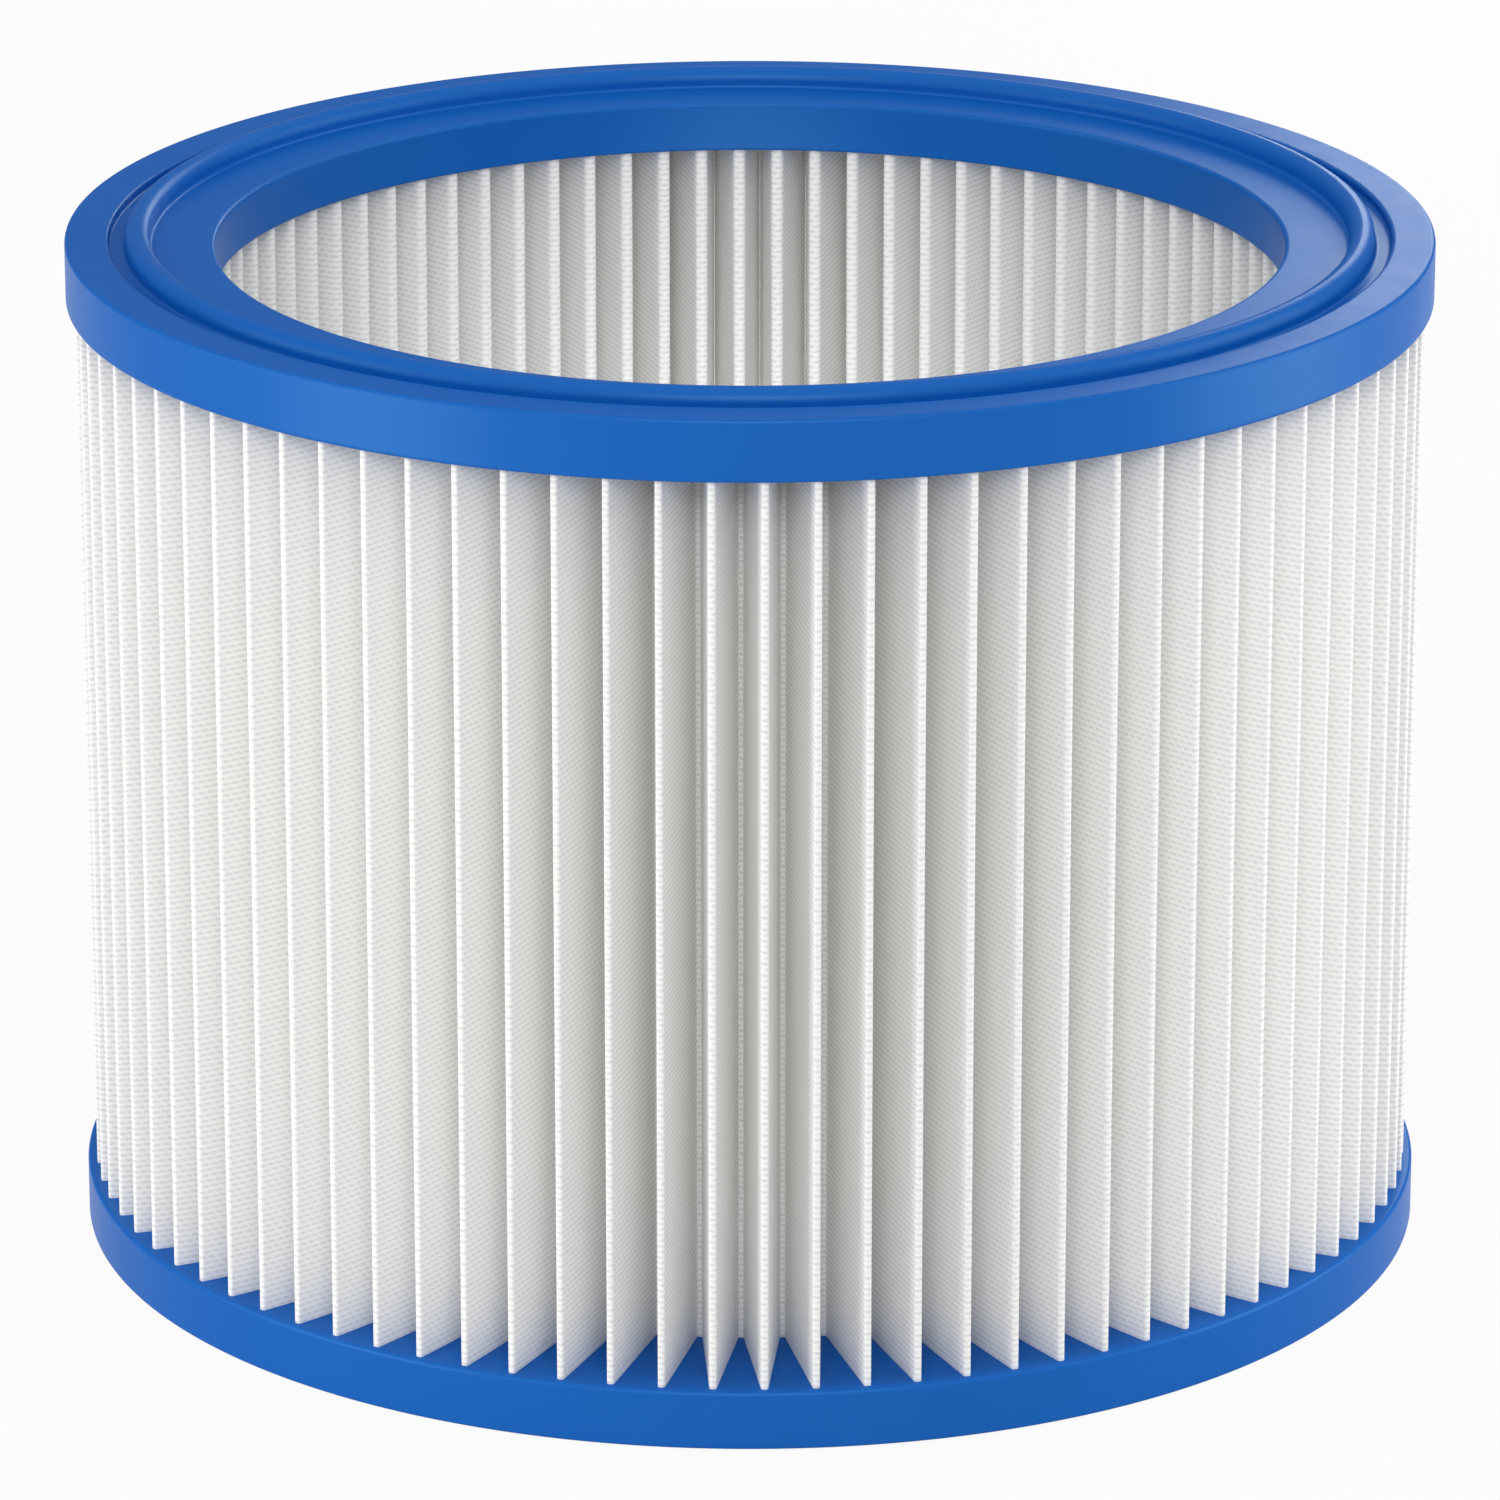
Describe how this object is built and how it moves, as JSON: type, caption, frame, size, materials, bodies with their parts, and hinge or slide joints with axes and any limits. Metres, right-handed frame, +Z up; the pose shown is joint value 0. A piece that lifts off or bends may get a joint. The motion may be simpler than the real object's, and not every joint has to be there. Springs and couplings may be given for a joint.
{
  "type": "vacuum cleaner filter",
  "caption": "Open pleated cartridge filter for a wet-and-dry vacuum cleaner: a ring of folded cloth potted between two soft cast end rings, one with a round sealing bead.",
  "frame": {"origin": "centre of the base, in the plane that the bottom end ring stands on", "axes": "+Z up the axis of the ring towards the sealing bead, -Y to the front of the picture"},
  "size_m": [0.185, 0.185, 0.1412],
  "materials": {
    "blue_polyurethane": "smooth semi-matt cast polyurethane",
    "white_filter_cloth": "fine woven-look polyester filter cloth"
  },
  "bodies": {
    "root": {"top_end_cap": "blue_polyurethane", "pleated_media": "white_filter_cloth", "bottom_end_cap": "blue_polyurethane"}
  },
  "joints": []
}
